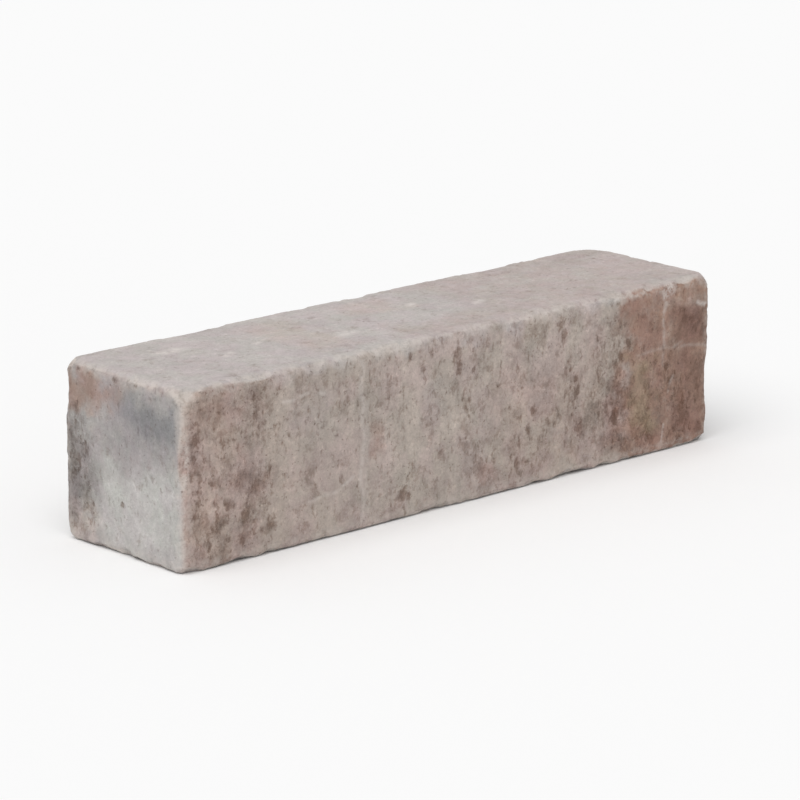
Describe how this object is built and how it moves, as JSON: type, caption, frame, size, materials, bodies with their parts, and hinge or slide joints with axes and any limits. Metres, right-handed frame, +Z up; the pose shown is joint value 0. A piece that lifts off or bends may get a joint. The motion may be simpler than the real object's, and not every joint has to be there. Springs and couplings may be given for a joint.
{
  "type": "garden wall block",
  "caption": "Tumbled concrete garden wall block: a long square-section block with worn, chipped arrises, dry-stacked or glued in courses for low walls, borders and steps.",
  "frame": {"origin": "middle of the bed face, on the surface that the block lies on", "axes": "+X along the block's length, as it runs in a course; -Y out of the front face; +Z up, out of the top face"},
  "size_m": [0.6, 0.15, 0.15],
  "materials": {
    "concrete": "matte"
  },
  "bodies": {
    "root": {"wall_block": "concrete"}
  },
  "joints": []
}
